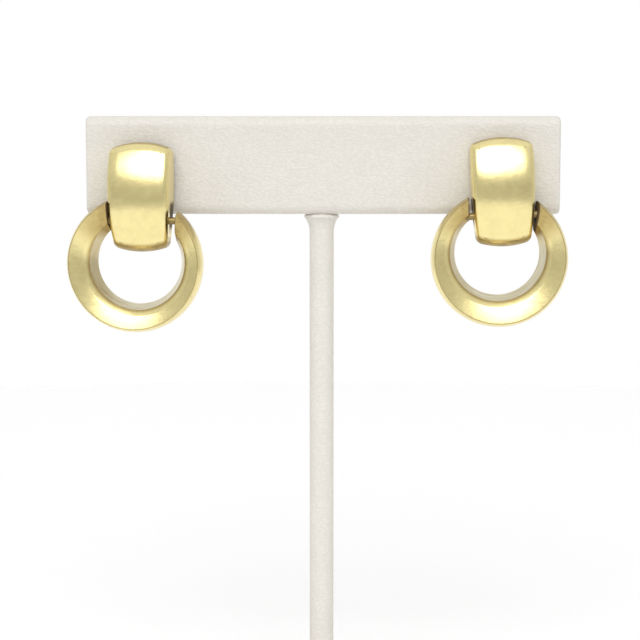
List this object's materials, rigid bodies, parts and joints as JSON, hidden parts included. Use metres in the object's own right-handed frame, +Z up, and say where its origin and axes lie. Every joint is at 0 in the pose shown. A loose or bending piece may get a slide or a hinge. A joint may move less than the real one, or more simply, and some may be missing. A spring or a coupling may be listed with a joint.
{
  "type": "doorknocker earrings on a display stand",
  "caption": "Doorknocker earrings, each a polished domed plaque with a graduated swinging ring, hung by their ear posts on a plain T-shaped leatherette display stand.",
  "frame": {"origin": "centre of the round foot's underside, on the surface that the stand stands on", "axes": "+Z up along the stem, +X along the panel to the viewer's right, -Y out of the earrings' fronts"},
  "size_m": [0.12, 0.07, 0.1526],
  "materials": {
    "leatherette": "off-white leatherette with a fine grain, satin",
    "gold_metal": "polished gold-toned metal"
  },
  "bodies": {
    "root": {"stand_base": "leatherette", "stand_stem": "leatherette", "stand_panel": "leatherette", "left_dome": "gold_metal", "left_pin": "gold_metal", "left_clutch": "gold_metal", "right_dome": "gold_metal", "right_pin": "gold_metal", "right_clutch": "gold_metal"},
    "left_ring": {"left_ring": "gold_metal"},
    "right_ring": {"right_ring": "gold_metal"}
  },
  "joints": [
    {"name": "left_ring_swing", "type": "hinge", "parent": "root", "child": "left_ring", "pos_m": [-0.04258, -0.0104, 0.12775], "axis": [0.9936, -0.1132, 0], "range_deg": [-165, 55]},
    {"name": "right_ring_swing", "type": "hinge", "parent": "root", "child": "right_ring", "pos_m": [0.04327, -0.0095, 0.12895], "axis": [0.9994, 0, 0.0349], "range_deg": [-165, 55]}
  ]
}
